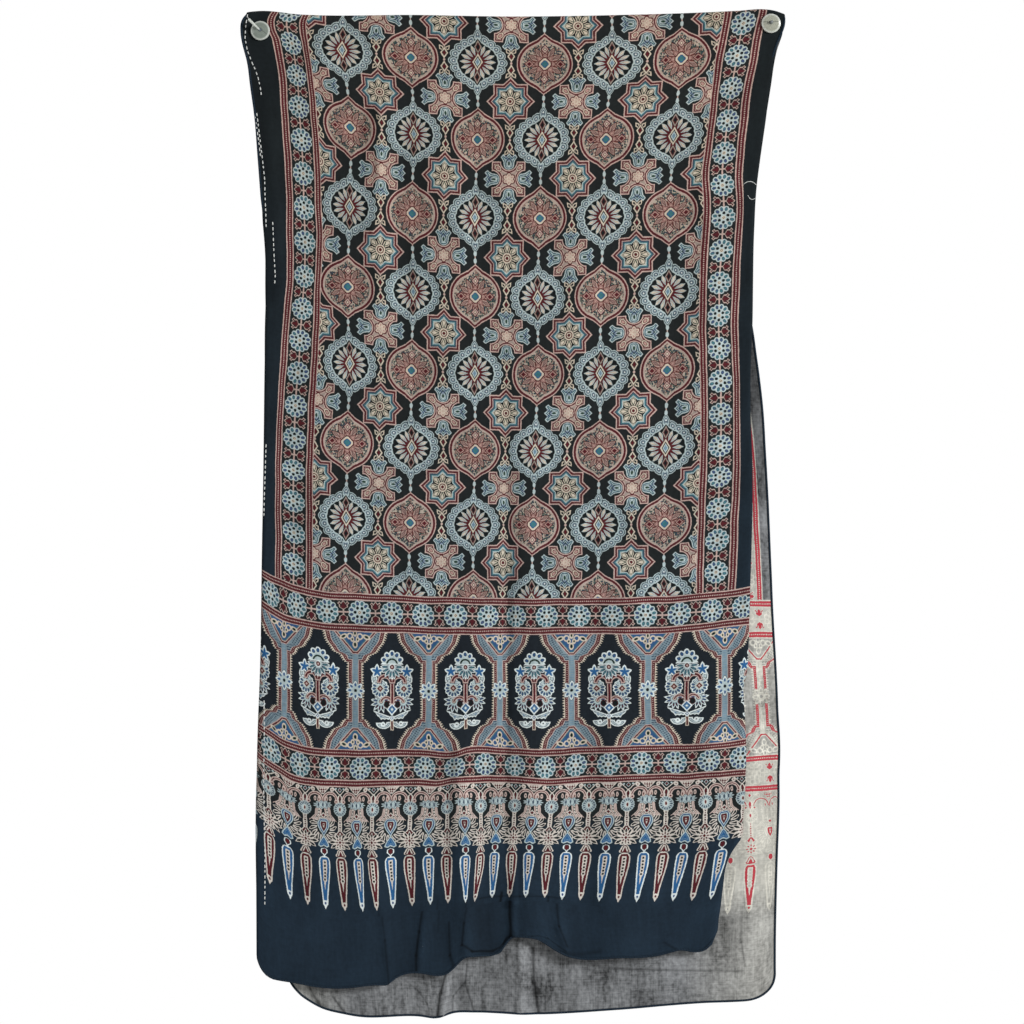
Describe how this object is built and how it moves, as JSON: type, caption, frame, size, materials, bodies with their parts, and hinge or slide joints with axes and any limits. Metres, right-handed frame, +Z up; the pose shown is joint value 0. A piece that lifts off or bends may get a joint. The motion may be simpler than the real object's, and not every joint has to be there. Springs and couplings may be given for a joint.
{
  "type": "ajrakh stole hung on two pins",
  "caption": "Block-printed cotton stole folded over its middle and hung flat, with its printed front and the plain back of its print, on clear pins.",
  "frame": {"origin": "midway between the two pins, on the plane that the cloth hangs against", "axes": "+Z up, +X across the cloth to the viewer's right, +Y into the wall, so the printed front faces -Y"},
  "size_m": [0.5668, 0.029, 1.0519],
  "materials": {
    "dyed_cotton": "matte plain-woven cotton, resist printed and dyed",
    "clear_plastic": "clear, slightly milky",
    "pin_steel": "bright drawn steel"
  },
  "bodies": {
    "root": {"cloth": "dyed_cotton", "left_pin_head": "clear_plastic", "right_pin_head": "clear_plastic", "left_pin_point": "pin_steel", "right_pin_point": "pin_steel"}
  },
  "joints": []
}
